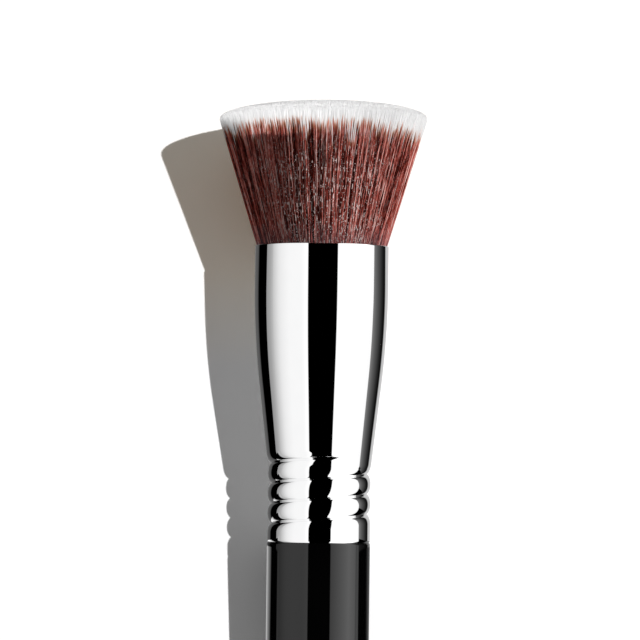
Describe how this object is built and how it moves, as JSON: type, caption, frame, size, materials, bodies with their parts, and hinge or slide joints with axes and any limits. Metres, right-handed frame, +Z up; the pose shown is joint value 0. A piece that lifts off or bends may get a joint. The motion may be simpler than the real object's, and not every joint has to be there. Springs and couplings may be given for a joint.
{
  "type": "kabuki makeup brush",
  "caption": "Dense flat-topped makeup brush with a flared bristle tuft, a bright crimped ferrule and a round lacquered handle, lying on its side.",
  "frame": {"origin": "the middle of the box that holds the brush, on the surface that it lies on", "axes": "+Z up from the surface, +Y from the handle towards the tuft, +X to the right when seen from above with the tuft ahead"},
  "size_m": [0.0384, 0.1756, 0.0382],
  "materials": {
    "handle_lacquer": "black gloss lacquer on turned wood",
    "ferrule_plate": "bright mirror plating",
    "bristles": "dyed synthetic filament, brown with white tips",
    "binding_thread": "waxed thread",
    "root_epoxy": "cured amber resin",
    "tenon_adhesive": "cured glue"
  },
  "bodies": {
    "root": {"handle": "handle_lacquer", "ferrule": "ferrule_plate", "bristle_tuft": "bristles", "root_binding": "binding_thread", "root_glue": "root_epoxy", "tenon_glue": "tenon_adhesive"}
  },
  "joints": []
}
